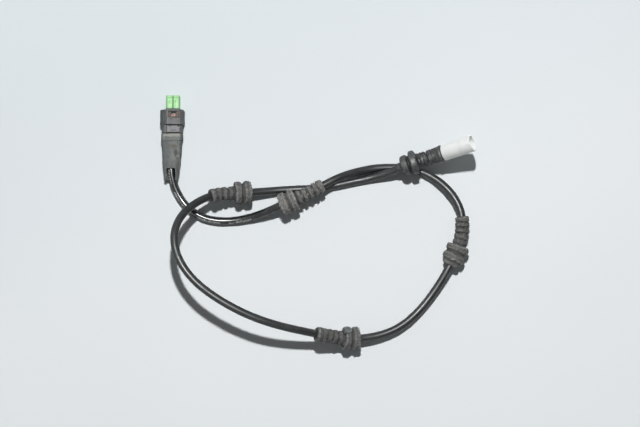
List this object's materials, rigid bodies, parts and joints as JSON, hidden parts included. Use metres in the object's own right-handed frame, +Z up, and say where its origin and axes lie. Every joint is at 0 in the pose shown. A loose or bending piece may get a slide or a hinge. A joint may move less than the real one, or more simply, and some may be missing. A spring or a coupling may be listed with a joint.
{
  "type": "brake pad wear sensor",
  "caption": "Brake pad wear sensor: green nose in a black clip housing with a rubber boot, a thin cable with ribbed grommets, and a round white plug.",
  "frame": {"origin": "On the surface that the sensing head lies on, under the middle of the head's own box. The cable and what is on it are left out of that box.", "axes": "+Y runs along the head, from the boot to the nose. +Z is up from the surface. +X is to the right of the head, towards the loop of cable."},
  "size_m": [0.2148, 0.1742, 0.0378],
  "materials": {
    "nose_green": "clear moulded, glossy",
    "black_plastic": "moulded, dusty",
    "red_plastic": "moulded",
    "resistor_body": "lacquered",
    "core_insulation": "extruded",
    "loop_wire": "drawn copper",
    "contact_metal": "tinned",
    "boot_rubber": "dusty and scuffed",
    "grommet_rubber": "dusty and worn",
    "black_rubber": "matte, lightly dusty",
    "cable_jacket": "satin to glossy",
    "white_plastic": "slightly translucent"
  },
  "bodies": {
    "root": {"sensing_nose": "nose_green", "wear_loop_1": "loop_wire", "wear_loop_2": "loop_wire", "head_housing": "black_plastic", "lock_insert": "red_plastic", "contact_carrier": "black_plastic", "stage_resistor": "resistor_body", "crimp_ferrule_1": "contact_metal", "crimp_ferrule_2": "contact_metal", "core_wire_1": "core_insulation", "core_wire_2": "core_insulation", "rear_collar": "black_plastic", "latch_tongue": "black_plastic", "head_boot": "boot_rubber", "cable": "cable_jacket", "grommet_1": "grommet_rubber", "grommet_2": "grommet_rubber", "grommet_3": "grommet_rubber", "grommet_4": "grommet_rubber", "grommet_5": "black_rubber", "plug_boot": "black_rubber", "plug_shell": "white_plastic", "plug_insert": "white_plastic", "contact_pin_1": "contact_metal", "contact_pin_2": "contact_metal", "wire_seal": "grommet_rubber"}
  },
  "joints": []
}
